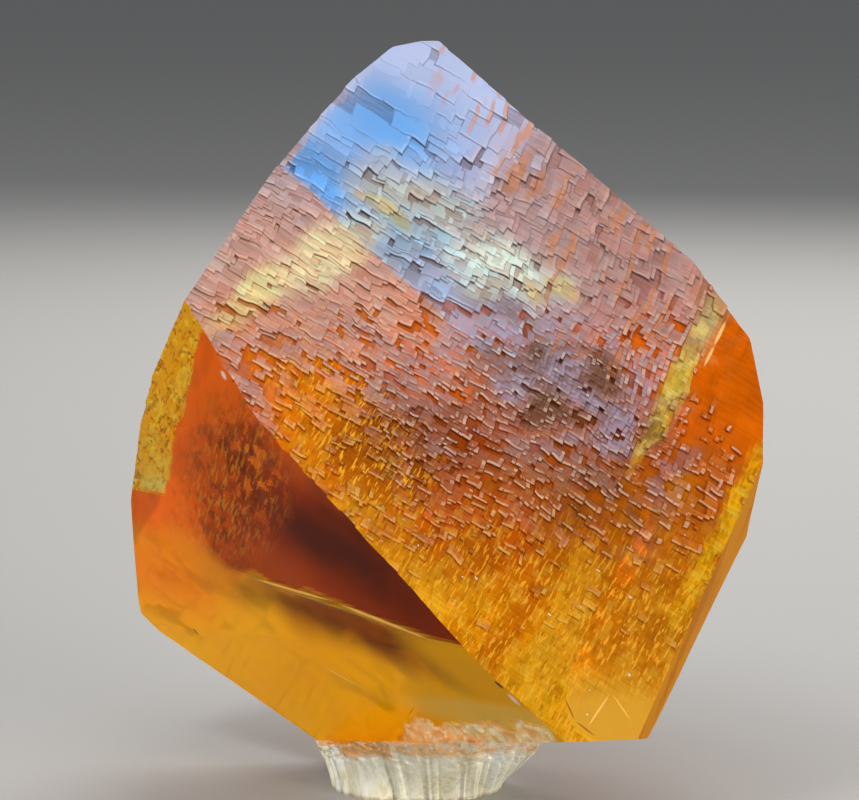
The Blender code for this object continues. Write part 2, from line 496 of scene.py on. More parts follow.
def pile_plates(name, facet, turn, size, spacing, rule, seed, brush=None):
    """A closed block whose outer side is the facet's pile of plates.

    rule(s, t) gives, at places on the facet in millimetres: a plate's length along the
    turned direction and its height across it, the share that plates cover, how far a plate
    falls from its lower corner, and how unruly the plates lie.
    """
    rng = np.random.default_rng(seed)
    a, b = math.radians(turn), math.radians(turn + CLEAVAGE)
    wide, tall = spacing
    columns, rows = int(size[0] / wide), int(size[1] / tall)
    lines, tiers = 2 * columns, 2 * rows

    def place(along, across):
        return (along * math.cos(a) + across * math.cos(b) + size[2],
                along * math.sin(a) + across * math.sin(b) + size[3])

    corners, sides, falls, top = choose_plates(rng, size, place, rule)
    cells = (cell_middles(size[0], wide), cell_middles(size[1], tall))
    tips = [np.clip(((corners[:, n] + size[n] / 2) / spacing[n]).astype(int), 0,
                    len(cells[n]) - 1) for n in (ALONG, ACROSS)]
    tip_along, tip_across = cells[ALONG][tips[ALONG]], cells[ACROSS][tips[ACROSS]]
    owner = stack_plates(tips, sides, falls, top, cells, spacing)

    sheet, points, middles = add_sheet(name, lines - 1, tiers - 1)
    line = np.round((points[:, 0] + 0.5) * (lines - 1)).astype(int)
    tier = np.round((points[:, 1] + 0.5) * (tiers - 1)).astype(int)
    column, row = line // 2, tier // 2
    along = column * wide + (line % 2) * (wide - LEDGE_WIDTH) - size[0] / 2
    across = row * tall + (tier % 2) * (tall - LEDGE_WIDTH) - size[1] / 2
    s, t = place(along, across)
    k = owner[column, row]
    tilted = (top[k] - falls[ALONG][k] * (tip_along[k] - along)
              - falls[ACROSS][k] * (across - tip_across[k]))
    _, _, _, rise_here, unruly_here = rule(s, t)
    rough_ground = 0.6 * waves(rng, s, t, 1.1, 2.2, turn + CLEAVAGE) + 0.5 * waves(rng, s, t, 2.6)
    lying_about = np.clip(unruly_here - 0.6, 0.0, 1.0)
    ground = rise_here * (0.45 * rough_ground - 0.6) * (1.0 + 0.8 * lying_about)
    height = np.where(k >= 0, tilted, ground)
    push_s = (0.40 * waves(rng, s, t, 6.0) + 0.20 * waves(rng, s, t, 1.4)
              + 0.08 * waves(rng, s, t, 0.6))
    push_t = (0.40 * waves(rng, s, t, 6.0) + 0.16 * waves(rng, s, t, 1.4)
              + 0.06 * waves(rng, s, t, 0.6))
    if brush:
        i = np.floor((middles[:, 0] + 0.5) * (lines - 1)).astype(int)
        j = np.floor((middles[:, 1] + 0.5) * (tiers - 1)).astype(int)
        grid = np.zeros((lines, tiers))
        grid[line, tier] = height
        shade, lip = read_ledges(grid, i, j)
        plate = owner[np.minimum(i // 2 + i % 2, columns - 1), j // 2]
        along = (i // 2 + 0.5) * wide - size[0] / 2
        across = (j // 2 + 0.5) * tall - size[1] / 2
        k = np.maximum(plate, 0)
        behind = ((tip_along[k] - along) / sides[ALONG][k]
                  + (across - tip_across[k]) / sides[ACROSS][k]) / 2
        keep_paint(sheet.data, *brush(rng, *place(along, across), plate, shade, lip,
                                      np.clip(behind, 0.0, 1.0)))
    lay_on_facet(sheet, facet, s + push_s, t + push_t, height)
    print(name, len(top), "plates,", round(float((owner >= 0).mean()), 2), "covered")
    return sheet


# %% [markdown]
# ## The front face
# The rule for its plates: nearly smooth at the tip; long plates that follow the lattice down
# to the right on the upper left; long plates that follow it up to the right on the right
# shoulder; small broken ones, more and more thinly scattered, towards the foot.

# %% Front face: where plates lie
# Painted reflections: the veil and the gold strip are streaks of light thrown back from inside.
VEIL_REFLECTION = ((21.8, -2.6), (9.0, 0.95), 63, 0.5)
GOLD_REFLECTION = ((25.0, -18.0), (9.2, 0.95), 62, 0.45)
FOIL = ((-11, -9), (4.8, 10), 38, 0.5)       # crinkled gold beside the front edge
BARE_FOIL = ((-11, -9), (3.6, 9), 38, 0.5)   # its inner part, where plates are few
VEIL_EDGE = (22.4, -3.4)
LENS_MIDDLE, LENS_RADII, LENS_TOP = (16.5, -32.8), (6.5, 6.5), (16, -32.6)
LENS_FADE = 3.0             # how softly the lens's colour ends at its top


def shoulder(s, t):
    """The clear orange shoulder to the right of the veil."""
    beyond = 1.0 - left_of(s, t, VEIL_EDGE, 63, 0.8)
    return beyond * left_of(s, t, (26, -9.0), -35, 2.5)


def lens(s, t, fade=0.6):
    """The smooth lens at the foot, with a round left side, fading out at its top."""
    return oval(s, t, LENS_MIDDLE, LENS_RADII, 0, 0.06) * left_of(s, t, LENS_TOP, 176, fade)


def bare_gold(s, t):
    """The veil and the gold strip, which no plate covers."""
    return np.maximum(oval(s, t, *VEIL_REFLECTION), oval(s, t, *GOLD_REFLECTION))


def front_rule(s, t):
    """Length, height, cover, rise and unruliness of the plates on the front face."""
    tip = soft_step(t, 17, 28)
    middle = soft_step(-t, -9, 3)
    foot = soft_step(-t, 2, 16)
    right_side = soft_step(s + 0.35 * t, 7, 15) * (1 - foot)
    left_side = soft_step(-(s + 0.3 * t), -3, 5) * (1 - foot)
    smoky = oval(s, t, (11, -4), (11, 6), -36, 0.4)
    long_side = 1.6 + 1.0 * left_side * (1 - middle) + 2.5 * tip - 0.5 * right_side - 0.4 * middle
    high_side = 0.90 - 0.25 * left_side + 1.1 * right_side + 2.5 * tip - 0.3 * middle
    long_side = long_side - 0.3 * foot - 0.3 * right_side * middle
    high_side = high_side - 1.0 * right_side * middle - 0.10 * foot
    cover = 0.999 - 0.16 * middle * (1 - smoky) - 0.16 * foot - 0.60 * soft_step(-t, 14, 23)
    cover = cover * (1 - 0.45 * oval(s, t, *BARE_FOIL))
    cover = cover * (1 - 0.99 * shoulder(s, t))
    cover = cover * (1 - 0.98 * bare_gold(s, t))
    cover = cover * (1 - 0.9 * soft_step(-t, 25, 31)) * (1 - 0.99 * lens(s, t))
    rise = (0.27 - 0.10 * foot - 0.06 * soft_step(-t, 14, 23)) * (1 - 0.7 * tip)
    return long_side, high_side, np.clip(cover - 0.02, 0.0, FULL_COVER), rise, 0.6 + 1.0 * foot


for part, t in (("tip", 28.0), ("middle", -4.0), ("foot", -28.0)):
    print(part, "covered:", round(float(front_rule(np.zeros(1), np.full(1, t))[2][0]), 2))

# %% [markdown]
# The plate tops carry a painted reflection, a cool sheen: lavender at the tip, sky blue in a
# wedge that starts at a sharp corner, white where the light is mirrored straight, rose on
# the right and on the left below the wedge, and a smoky violet band along the middle.

# %% Front face: the painted reflection on the plate tops
WEDGE_CORNER = (-15.4, 18.9)
WEDGE_LOWER_HEADING = -45.5
WEDGE_UPPER_HEADING = 52.0


def wedge(s, t, soft=0.25):
    lower = left_of(s, t, WEDGE_CORNER, WEDGE_LOWER_HEADING, soft)
    return lower * left_of(s, t, WEDGE_CORNER, WEDGE_UPPER_HEADING + 180.0, soft + 0.2)


def below_wedge(s, t):
    return 1.0 - left_of(s, t, WEDGE_CORNER, WEDGE_LOWER_HEADING, 0.25)


SHEEN_AROUND = (     # strength, middle, radii, turn, softness, colour
    (1, (-1, 29), (14, 10), 0, 0.5, (188, 202, 240)),  # lavender tip
    (1, (22, 8), (12, 16), 30, 0.6, (194, 152, 146)),  # rose at the right
)
SHEEN_IN_WEDGE = (
    (1, (-7, 19.5), (10, 8.5), 0, 0.45, (146, 182, 234)),
    (1, (-6.0, 24.0), (5.0, 3.2), -20, 0.7, (112, 174, 242)),  # the two bluest patches
    (1, (-11, 17), (7, 3.2), -38, 0.6, (100, 160, 226)),
    (1, (-2.5, 15.5), (6, 3.5), -20, 0.5, (192, 194, 188)),
    (1, (-3, 10), (6, 4), -45, 0.5, (150, 182, 206)),
    (1, (1.5, 5), (8, 4), -40, 0.5, (158, 174, 204)),
)
SHEEN_MIRROR = ((1, (5.5, 7.8), (5.5, 2.6), -32, 0.6, (222, 236, 222)),)
SHEEN_ROSE = ((1, (-10, 1), (17, 11), -20, 0.45, (222, 168, 150)),)
SHEEN_LEFT = (
    (1, (-19.3, 5.0), (4.2, 1.9), 45, 0.5, (255, 250, 180)),  # pale gold, at the left
    (0.9, (-11.6, 9.6), (5.5, 2.2), 30, 0.6, (255, 244, 194)),
    (1, (11, -5), (10, 5), -36, 0.4, (146, 128, 138)),  # smoky band
)
SHEEN_LOW = (
    (0.9, (-3.5, -9.5), (9, 5.5), -12, 0.5, (136, 80, 62)),
    (0.7, (0, -17.5), (9, 5), -20, 0.6, (168, 88, 40)),
    (0.7, (14, -15), (9, 6), 10, 0.6, (158, 92, 58)),
    (0.6, (3, -6), (8, 4), -36, 0.6, (166, 98, 82)),
)
SHEEN_FLECKS = tuple((0.6, middle, (1.6, 0.8), -30, 0.6, (236, 214, 120))
                    for middle in ((-6.2, 15.0), (-4.3, 14.0), (8.0, 5.6), (10.5, 6.2)))


# Painted reflection: the cool sheen that the plate tops mirror, laid zone by zone.
def sheen_colour(s, t):
    sheen = lay_ovals(wash(s, 196, 172, 176), s, t, 1.0, SHEEN_AROUND)
    sheen = lay_ovals(sheen, s, t, wedge(s, t), SHEEN_IN_WEDGE)
    sheen = lay_ovals(sheen, s, t, 1.0, SHEEN_MIRROR)
    sheen = lay_ovals(sheen, s, t, below_wedge(s, t), SHEEN_ROSE)
    sheen = lay_ovals(sheen, s, t, 1.0, SHEEN_LEFT)
    sheen = lay(sheen, left_of(s, t, (0, -7), 184, 7.0), linear(204, 124, 98))
    sheen = lay_ovals(sheen, s, t, 1.0, SHEEN_LOW)
    sheen = lay(sheen, left_of(s, t, (0, -20), 172, 5.0), linear(226, 146, 42))
    sheen = lay_ovals(sheen, s, t, 1.0, SHEEN_FLECKS)
    return lay(sheen, left_of(s, t, (24, 0), -100, 3.5), linear(210, 122, 52))


# %% [markdown]
# Between and under the plates the stone is honey: burnt brown along the smoky band, red
# orange in the middle, amber and then gold at the foot, and clear orange on the right
# shoulder, which a greenish gold veil crosses. The veil and the gold strip are painted
# reflections, bright streaks of light that the stone throws back from inside.

# %% Front face: the honey between the plates
HONEY_MIDDLE = (
    (1, (11, -5), (9, 5.5), -36, 0.5, (110, 66, 40)),  # burnt smoky band
    (0.8, (-3, -9), (7, 4.5), -10, 0.5, (190, 84, 16)),
    (1, (12, -16), (10, 7), 20, 0.6, (172, 82, 12)),
    (1, (-10, -9), (5, 10), 35, 0.6, (255, 146, 12)),  # foil beside the edge
)
HONEY_LOW = (
    (0.75, (-3.5, -9.5), (9, 5), -12, 0.5, (132, 54, 10)),
    (0.7, (0, -17.5), (9, 4.5), -20, 0.6, (190, 78, 8)),
    (0.75, (20, -23), (11, 8), 60, 0.6, (202, 116, 16)),
    (1, *VEIL_REFLECTION, (230, 204, 80)),
    (1, (25.0, 3.6), (4.2, 1.5), 63, 0.6, (210, 198, 138)),  # milky top of the veil's painted reflection
    (1, *GOLD_REFLECTION, (255, 186, 12)),
)


def honey_colour(s, t):
    # In the wedge the honey between the plates takes the painted blue-grey reflection too.
    honey = lay(wash(s, 214, 134, 70), wedge(s, t), linear(130, 146, 172))
    honey = lay(honey, left_of(s, t, (0, 4), 186, 4.0), linear(240, 112, 14))
    honey = lay_ovals(honey, s, t, 1.0, HONEY_MIDDLE)
    honey = lay(honey, left_of(s, t, (0, -19), 172, 6.0), linear(244, 154, 4))
    honey = lay(honey, left_of(s, t, (0, -30), 176, 4.0), linear(244, 176, 20))
    honey = lay(honey, shoulder(s, t), linear(236, 110, 2))
    dashes = soft_step(waves(np.random.default_rng(9), s, t, 0.7, 4.0, 63.0), 0.3, 0.6)
    dashes = dashes * shoulder(s, t) * soft_step(-s, -28, -24)
    honey = lay(honey, 0.5 * dashes, linear(240, 150, 70))
    patch = waves(np.random.default_rng(8), s, t, 3.6, 1.8, 60.0)
    low = left_of(s, t, (0, -12), 176, 5.0)
    honey = lay(honey, 0.45 * low * soft_step(patch, 0.3, 0.7), linear(226, 98, 4))
    honey = lay(honey, 0.7 * low * soft_step(-patch, 0.15, 0.6), linear(255, 190, 34))
    honey = lay_ovals(honey, s, t, 1.0, HONEY_LOW)
    return lay(honey, lens(s, t, LENS_FADE), linear(224, 164, 50))


# %% [markdown]
# The painted reflection is patchy: ash and brown patches break it up over the middle, violet
# and dark ones on the smoky band. Where the veil and the gold strip lie bare, the honey has
# crinkles with painted highlights and painted shade along their rims.

# %% Front face: patchy sheen and bare gold
SHEEN_BROWNS = (
    (0.6, (5, -15.5), (7, 4), -18, 0.6, (210, 98, 30)),
    (0.65, (11, -13), (7, 3.5), -18, 0.6, (146, 92, 44)),
)


def patchy_sheen(rng, sheen, s, t, mid):
    """The painted sheen with ash and brown patches over the middle, violet and dark on the smoky
    band.
    """
    ash = waves(rng, s, t, 2.2, 1.6, -30.0)
    smoky = oval(s, t, (11, -4), (12, 7), -36, 0.5)
    around = 0.55 * mid * (1 - smoky)
    sheen = lay(sheen, around * soft_step(ash, 0.15, 0.6), linear(176, 150, 158))
    sheen = lay(sheen, around * soft_step(-ash, 0.15, 0.6), linear(206, 96, 44))
    sheen = lay(sheen, 0.8 * smoky * soft_step(ash, 0.1, 0.5), linear(176, 166, 192))
    sheen = lay(sheen, 0.8 * smoky * soft_step(-ash, 0.1, 0.6), linear(108, 74, 58))
    return lay_ovals(sheen, s, t, 1.0, SHEEN_BROWNS)


def lit_bare_gold(rng, honey, s, t, bare):
    """The honey, where the veil and the gold strip lie bare, with painted crinkle highlights and
    shade.
    """
    # Painted shade along the crinkles' rims, and painted highlights where crinkles face the
    # light.
    rim_shade = soft_step(-np.abs(waves(rng, s, t, 0.7, 1.6, -20.0)), -0.22, -0.04)
    honey = honey * (1.0 - 0.3 * bare * rim_shade + 0.2 * bare * waves(rng, s, t, 0.8))[:, None]
    facing_highlight = 0.7 * soft_step(waves(rng, s, t, 0.6, 1.8, -25.0), 0.15, 0.5)
    honey = lay(honey, facing_highlight * oval(s, t, *VEIL_REFLECTION), linear(255, 240, 140))
    return lay(honey, facing_highlight * oval(s, t, *GOLD_REFLECTION), linear(255, 212, 60))


# %% [markdown]
# The brush joins the two: the painted reflection on the plates and honey between them, with
# painted highlights on the plates' lower rims and painted shade on the ledges beside them.
# On the lower half the painted reflection thins out, so more and more honey shows through
# the plates themselves.

# %% Front face: the brush
FRONT_EXPOSURE = 0.79       # the foot light falls on this face, so its colours are held back


def front_brush(rng, s, t, plate, shade, lip, behind):
    """Colour, clearness, roughness and glints of the front face.

    plate is -1 between the plates, shade is the fall of a ledge, lip is 1 on a plate's lower
    rim, and behind is 0 at a plate's corner and 1 at its far side.
    """
    tone = rng.uniform(-1.0, 1.0, plate.max() + 2)[plate]
    hue = rng.normal(0.0, 1.0, plate.max() + 2)[plate]
    wander_s, wander_t = s + 1.2 * waves(rng, s, t, 3.0), t + 1.2 * waves(rng, s, t, 3.0)
    sheen = sheen_colour(wander_s, wander_t)
    beside = wedge(s, t) - wedge(wander_s, wander_t)
    sheen = lay(sheen, np.abs(beside), sheen_colour(s + 1.2 * np.sign(beside), t + np.sign(beside)))
    # Painted light: each plate's top is lighter at its lower corner and darker towards its far
    # side; its tone also varies at random.
    lively = 1.0 - 0.75 * soft_step(t, 15, 24)
    sheen = sheen * (1.0 + lively * (0.10 - 0.26 * behind + 0.20 * tone))[:, None]
    sheen = sheen * np.array([1.0, 0.92, 0.90]) ** (lively * hue)[:, None]
    cool = soft_step(sheen[:, 2] - sheen[:, 0], -0.10, 0.10)
    honey = honey_colour(s + 0.6 * waves(rng, s, t, 2.0), t)
    smooth = lens(s, t, LENS_FADE)
    fibres = waves(rng, s, t, 0.8, 2.5, 60.0)
    honey = honey * (1.0 + 0.18 * (1 - smooth) * fibres)[:, None]
    low = np.maximum(left_of(s, t, (0, -15), 172, 6.0), oval(s, t, *FOIL))
    mid = left_of(s, t, (0, 4), 178, 5.0)
    sheen = patchy_sheen(rng, sheen, s, t, mid)
    # Painted reflection: a thin share of the sheen spreads over the honey between the plates.
    sheen_over_honey = 0.5 * mid * (1 - low) * (1 - shoulder(s, t))
    sheen_over_honey = sheen_over_honey * soft_step(waves(rng, s, t, 1.3), -0.2, 0.5)
    honey = lay(honey, sheen_over_honey, 0.8 * sheen)
    thin = soft_step(tone + 0.5 * waves(rng, s, t, 2.5), 0.1, 0.6)
    thin = thin * left_of(s, t, (0, 3), 176, 4.0)
    fade = mid * soft_step(behind, 0.2, 0.75)
    seen = np.maximum(np.maximum(0.6 * thin * (1 - low), 0.78 * low), 0.8 * fade)
    sheen = lay(sheen, seen, honey)
    past_veil = left_of(s, t, VEIL_EDGE, 243, 1.5) * left_of(s, t, (0, -1), 180, 3)
    sheen = lay(sheen, 0.6 * past_veil, honey)
    sheen = sheen * (1.0 + 0.14 * low * hue)[:, None]
    bare = bare_gold(s, t)
    honey = lit_bare_gold(rng, honey, s, t, bare)
    on_plate = (plate >= 0) * (1.0 - bare)
    seam = soft_step(waves(rng, s, t, 0.6, 8.0, 64.0), 0.35, 0.65)
    seam = seam * soft_step(s + 0.35 * t, 6, 13) * soft_step(t, -6, 2)
    sheen = lay(sheen, 0.65 * seam, linear(222, 142, 84))
    colour = lay(honey, np.maximum(on_plate, soft_step(t, 4, 8) * (1.0 - bare)), sheen)
    # Painted highlights on the plates' lower rims: cream, warmer at the foot, cooler where the
    # sheen is cool.
    lip_highlight = lay(wash(s, 255, 232, 212), low, linear(255, 206, 120))
    lip_highlight = lay(lip_highlight, cool, linear(226, 236, 244))
    highlight_share = 0.35 + 0.35 * soft_step(-t, -10, 4) + 0.3 * waves(rng, s, t, 1.3)
    colour = lay(colour, highlight_share * lip * on_plate, 0.4 * sheen + 0.6 * lip_highlight)
    # Painted shade on the ledges, stronger on the steeper ones and uneven along them.
    ledge_shading = 0.62 + 0.38 * waves(rng, s, t, 1.9, 1.8, -34.0)
    ledge_shading = ledge_shading * (1 - 0.45 * mid) * (1 - 0.5 * low) * (1 - 0.55 * soft_step(t, 19, 27))
    colour = lay(colour, 0.6 * ledge_shading * soft_step(shade, 0.03, 0.09), 0.9 * honey)
    colour = lay(colour, 0.85 * ledge_shading * soft_step(shade, 0.12, 0.24), 0.36 * honey)
    # Painted glints and darker amber in fine grains towards the foot.
    glint_grit = waves(rng, s, t, 0.55, 1.8, 60.0)
    grains = low * (1.0 - smooth)
    colour = lay(colour, 0.3 * grains * soft_step(glint_grit, 0.2, 0.6), linear(255, 206, 66))
    colour = lay(colour, 0.3 * grains * soft_step(-glint_grit, 0.2, 0.6), linear(176, 90, 8))
    # Painted sparkles: a few single faces near white towards the foot.
    sparkle = (rng.uniform(size=len(s)) < 0.0015) * left_of(s, t, (0, -18), 172, 4.0)
    colour = lay(colour, sparkle, linear(255, 244, 230))
    # Where the finish paints fine glints and fine streaks of shade: the foot, the foil and the
    # bare gold.
    glint = 0.8 * left_of(s, t, (0, -17), 172, 6.0) * (1 - smooth)
    glint = np.maximum(glint, oval(s, t, (-9, -8), (5, 11), 35, 0.5))
    glint = np.maximum(glint, 0.5 * bare) * (1.0 - 0.7 * on_plate)
    clear = (0.34 - 0.08 * on_plate - 0.16 * cool * on_plate) * (1 - 0.65 * smooth)
    return FRONT_EXPOSURE * colour, clear, 0.10 + 0.08 * on_plate, glint


front_sheet = pile_plates("front_sheet", "front", -34.0, (86.0, 78.0, 2.0, -3.0), (0.45, 0.34),
                          front_rule, 5, front_brush)

# %% [markdown]
# ## The smooth face at the left
# This is the window into the stone. It is not one plane but three that meet in blunt
# edges, so its sheet takes the lowest of the three planes at each place. Its relief is a
# crumpled patch of copper glints, one fine raised fracture line, and a flecked strip down
# the outer edge.

# %% Left face: relief
LEFT_FACETS = ("front_left", "front_left_upper", "front_left_lower")
STRIP_FOOT = (-18.1, -0.1)
CRUMPLE = ((-6.6, 2.8), (12.0, 5.0), 43, 0.7)
BRIGHT_GLINTS = ((0.5, 6.5), (7, 4), 55, 0.6)
LINE_MIDDLE = (5.0, -9.8)
CRUST_TOP, CRUST_END = (11.8, -22.3), (6.1, -23.2)
SCALE_RIMS = (1.2, 30.0)    # size and turn of the scales on the strip


def planes_at(facets, s, t):
    """Height over the first facet of the lowest of several planes."""
    point, right, up, normal = (np.array(v) for v in facet_frame(facets[0]))
    there = point + s[:, None] * right + t[:, None] * up
    heights = []
    for facet in facets:
        other, _, _, way = (np.array(v) for v in facet_frame(facet))
        heights.append((other - there) @ way / (normal @ way))
    return np.min(heights, axis=0)


def left_masks(s, t):
    """1 on the strip, on the crumpled patch, on the fracture line and on the crust."""
    strip = left_of(s, t, STRIP_FOOT, 54.0, 0.25) * left_of(s, t, STRIP_FOOT, 2.0, 0.25)
    crumple = oval(s, t, *CRUMPLE)
    line = np.exp(-((t - LINE_MIDDLE[1] + 0.10 * (s - LINE_MIDDLE[0])) / 0.33) ** 2)
    ragged = waves(np.random.default_rng(12), s, t, 1.6)
    crust = 1.0 - left_of(s, t + 0.8 * ragged, CRUST_TOP, 12.0, 0.25)
    crust = crust * left_of(s + 1.6 * ragged, t, CRUST_END, 239.5, 0.25)
    crust = crust * (1.0 - soft_step(s, 27.0, 28.5))
    return strip, crumple, line * oval(s, t, LINE_MIDDLE, (14.0, 4.0), -5, 0.3), crust


def creases(s, t, size, turn):
    """1 on thin wandering lines that follow two directions, like the rims of small scales."""
    rng = np.random.default_rng(6)
    one = np.abs(waves(rng, s, t, size, 2.2, turn))
    other = np.abs(waves(rng, s, t, size, 2.2, turn + 78.0))
    return 1.0 - soft_step(np.minimum(one, other), 0.01, 0.11)


def left_relief(rng, s, t):
    """How far the left face's surface lies from its planes."""
    strip, crumple, line, crust = left_masks(s, t)
    sharp = waves(rng, s, t, 0.6, 1.8, 60.0)
    return (-0.30 + 0.07 * waves(rng, s, t, 7.0) + 0.05 * crumple * sharp
            - 0.20 * strip * creases(s, t, *SCALE_RIMS) + 0.16 * line
            + 0.25 * crust * waves(rng, s, t, 0.7) + 0.05 * waves(rng, s, t, 2.5, 2.0, -20.0))


# %% [markdown]
# Its colours are painted light that the stone throws back from inside: orange at the top, a
# wine-red shadow along the edge, gold below the fracture line with an olive band of painted
# shade just under it, and scales of gold down the strip.

# %% Left face: colour
SHADOW_DEPTHS = (
    (1, (9, -3.5), (16, 7.5), -30, 0.5, (128, 38, 1)),
    (1, (6, -2), (9, 4), -20, 0.7, (64, 12, 1)),
)
UNDER_LINE = (
    (1, (-25, -9), (11, 7), 10, 0.7, (248, 130, 1)),
    (1, (5, -11.5), (17, 3.2), -8, 0.7, (118, 58, 1)),  # olive band of painted shade just under the fracture line
    (1, (21, -14), (8, 3.0), -18, 0.6, (244, 172, 6)),
)
STRIP_END = ((1, (-19.6, 0.9), (2.6, 0.8), 10, 0.5, (238, 210, 96)),)
SPOTS = ((1, (0.1, 16.1), (0.7, 0.9), 0, 0.3, (246, 240, 230)),)
HALO = ((0.6, (19, -19.4), (11, 1.5), 6, 0.5, (240, 200, 96)),)  # above the crust


def left_brush(rng, s, t):
    """Colour, clearness, roughness and glints of the left face."""
    strip, crumple, line, crust = left_masks(s + 0.8 * waves(rng, s, t, 2.0), t)
    ws, wt = s + 1.0 * waves(rng, s, t, 4.0), t + 1.0 * waves(rng, s, t, 4.0)
    bent = s + 0.5 * waves(rng, s, t, 0.9)
    stroke = waves(rng, bent, t, 0.6, 1.8, 58.0) * (0.8 + 0.4 * rng.uniform(size=len(s)))
    scale = waves(rng, bent, t, 0.6, 1.8, 40.0) * (0.8 + 0.4 * rng.uniform(size=len(s)))
    under = left_of(s, wt, LINE_MIDDLE, 174.0, 0.4 + 4.0 * soft_step(-s, 8, 18))
    shadow = left_of(ws, wt, (-0.8, 13.2), -127.0, 2.0) * (1.0 - under)
    veins = soft_step(waves(np.random.default_rng(21), bent, t, 1.1, 2.5, 58.0), 0.1, 0.6)
    colour = lay(wash(s, 252, 108, 1), 0.3 * veins, linear(206, 78, 2))
    colour = lay(colour, shadow, linear(236, 100, 2))
    colour = lay(colour, shadow * (1.0 - left_of(ws, wt, (0, 8.0), -35, 3.0)), linear(158, 56, 2))
    colour = lay_ovals(colour, ws, wt, shadow, SHADOW_DEPTHS)
    colour = lay(colour, 0.6 * crumple, linear(170, 66, 3))
    colour = lay(colour, 0.6 * crumple * soft_step(-stroke, 0.1, 0.5), linear(96, 30, 2))
    # Painted copper glints on the crumpled patch, brightest in one oval.
    copper_glints = crumple * soft_step(stroke, 0.2, 0.5)
    colour = lay(colour, 0.5 * copper_glints, linear(222, 92, 4))
    colour = lay(colour, 0.7 * copper_glints * oval(s, t, *BRIGHT_GLINTS), linear(255, 124, 8))
    colour = lay(colour, under, linear(248, 180, 2))
    colour = lay_ovals(colour, ws, wt, under, UNDER_LINE)
    colour = lay(colour, 0.6 * line, linear(230, 172, 30))
    colour = lay(colour, strip, linear(250, 174, 12))
    # Painted highlights on the strip's scales.
    colour = lay(colour, 0.9 * strip * soft_step(scale, 0.1, 0.4), linear(255, 206, 50))
    colour = lay(colour, 0.5 * strip * soft_step(-t, -9, 0), linear(246, 206, 74))
    # Painted shade in the strip's sunken creases.
    colour = lay(colour, 0.7 * strip * creases(s, t, *SCALE_RIMS), linear(168, 88, 2))
    colour = lay_ovals(colour, s, t, strip, STRIP_END)
    colour = lay_ovals(colour, s, t, 1.0, SPOTS)
    grains = soft_step(waves(rng, s, t, 0.6), -0.2, 0.4)
    peach = lay(wash(s, 255, 204, 130), grains, linear(255, 232, 184))
    peach = lay(peach, soft_step(waves(rng, s, t, 1.7), 0.2, 0.7), linear(255, 190, 110))
    colour = lay_ovals(colour, s, t, 1.0, HALO)
    colour = lay(colour, crust, peach)
    clear = (0.12 - 0.05 * shadow) * (1.0 - crust)
    return colour, clear, 0.12 + 0.3 * crumple + 0.7 * crust, 0.8 * strip + 0.35 * crumple


# %% [markdown]
# The sheet for such a face is a fine grid. Each of its points takes the height of the
# lowest plane plus the relief.

# %% Sheets that follow several planes


def relief_sheet(name, facets, size, spacing, relief, brush, seed):
    """A closed block whose outer side follows the facets' planes plus a relief.

    size is the sheet's width and height and where its middle lies.
    """
    rng = np.random.default_rng(seed)
    sheet, points, middles = add_sheet(name, int(size[0] / spacing), int(size[1] / spacing))

    def spread(places):
        """The inner four fifths of the lines lie close together over the face itself."""
        share = np.interp(places, (-0.5, -0.4, 0.4, 0.5), (-0.5, -0.31, 0.31, 0.5))
        return share[:, 0] * size[0] + size[2], share[:, 1] * size[1] + size[3]

    s, t = spread(points)
    height = planes_at(facets, s, t) + relief(rng, s, t)
    keep_paint(sheet.data, *brush(rng, *spread(middles)))
    lay_on_facet(sheet, facets[0], s, t, height)
    return sheet


left_sheet = relief_sheet("left_sheet", LEFT_FACETS, (104.0, 104.0, -2.0, -2.0), 0.45,
                          left_relief, left_brush, 31)

# %% [markdown]
# ## The narrow band at the right, the back and the upper sides
# The band beside the front face's foot is smooth but for faint ribs. The back and the upper
# sides carry broader, calmer plates. They take the slow clouds of the finish, not a brush.
# The calm sheets cut the block first, while it is light, and the fine ones last.

# %% Right band, back and upper sides
RIBS = (1.4, 6.0, 70.0)     # size, stretch and turn of the band's ribs


def band_relief(rng, s, t):
    return -0.12 + 0.07 * waves(rng, s, t, *RIBS)


def band_brush(rng, s, t):
    rib = soft_step(waves(rng, s, t, *RIBS), -0.3, 0.6)
    return lay(wash(s, 192, 122, 12), rib, linear(172, 102, 10)), 0.0, 0.6


def calm_rule(s, t):
    """Broad even plates, for the sides that grew slowly."""
    even = np.ones_like(s)
    return 5.0 * even, 3.5 * even, 0.97 * even, 0.22 * even, 0.5 * even


band_sheet = relief_sheet("band_sheet", ("front_right",), (110.0, 110.0, 0.0, 0.0), 1.1,
                          band_relief, band_brush, 33)
for facet, turn, seed in (("back", 28.0, 21), ("upper_right", -50.0, 22),
                          ("upper_left", 40.0, 23)):
    trim(crystal, pile_plates(facet + "_sheet", facet, turn, (84.0, 84.0, 0.0, 0.0), (1.3, 1.3),
                              calm_rule, seed))
for sheet in (band_sheet, left_sheet, front_sheet):
    trim(crystal, sheet)

# %% [markdown]
# ## Back inside the measured box
# Relief stands a few hundredths of a millimetre proud here and there. Points past the
# measured box are pressed onto its sides, so the dressed crystal is never larger than the
# measured one.

# %% Press into the box
points = rows_of_three(crystal.data.vertices, "co")
low, high = np.array(cad_box[0]), np.array(cad_box[1])
outermost = max((low - points).max(), (points - high).max())
print("furthest out, mm:", round(float(outermost) / MM, 3))
crystal.data.vertices.foreach_set("co", np.clip(points, low, high).ravel())
crystal.data.update()
print("crystal faces:", len(crystal.data.polygons),
      "triangles:", sum(len(face.vertices) - 2 for face in crystal.data.polygons))

# %% [markdown]
# ## A small kit for finishes
# Nodes are added through a few helpers, so that each finish below reads as a recipe.

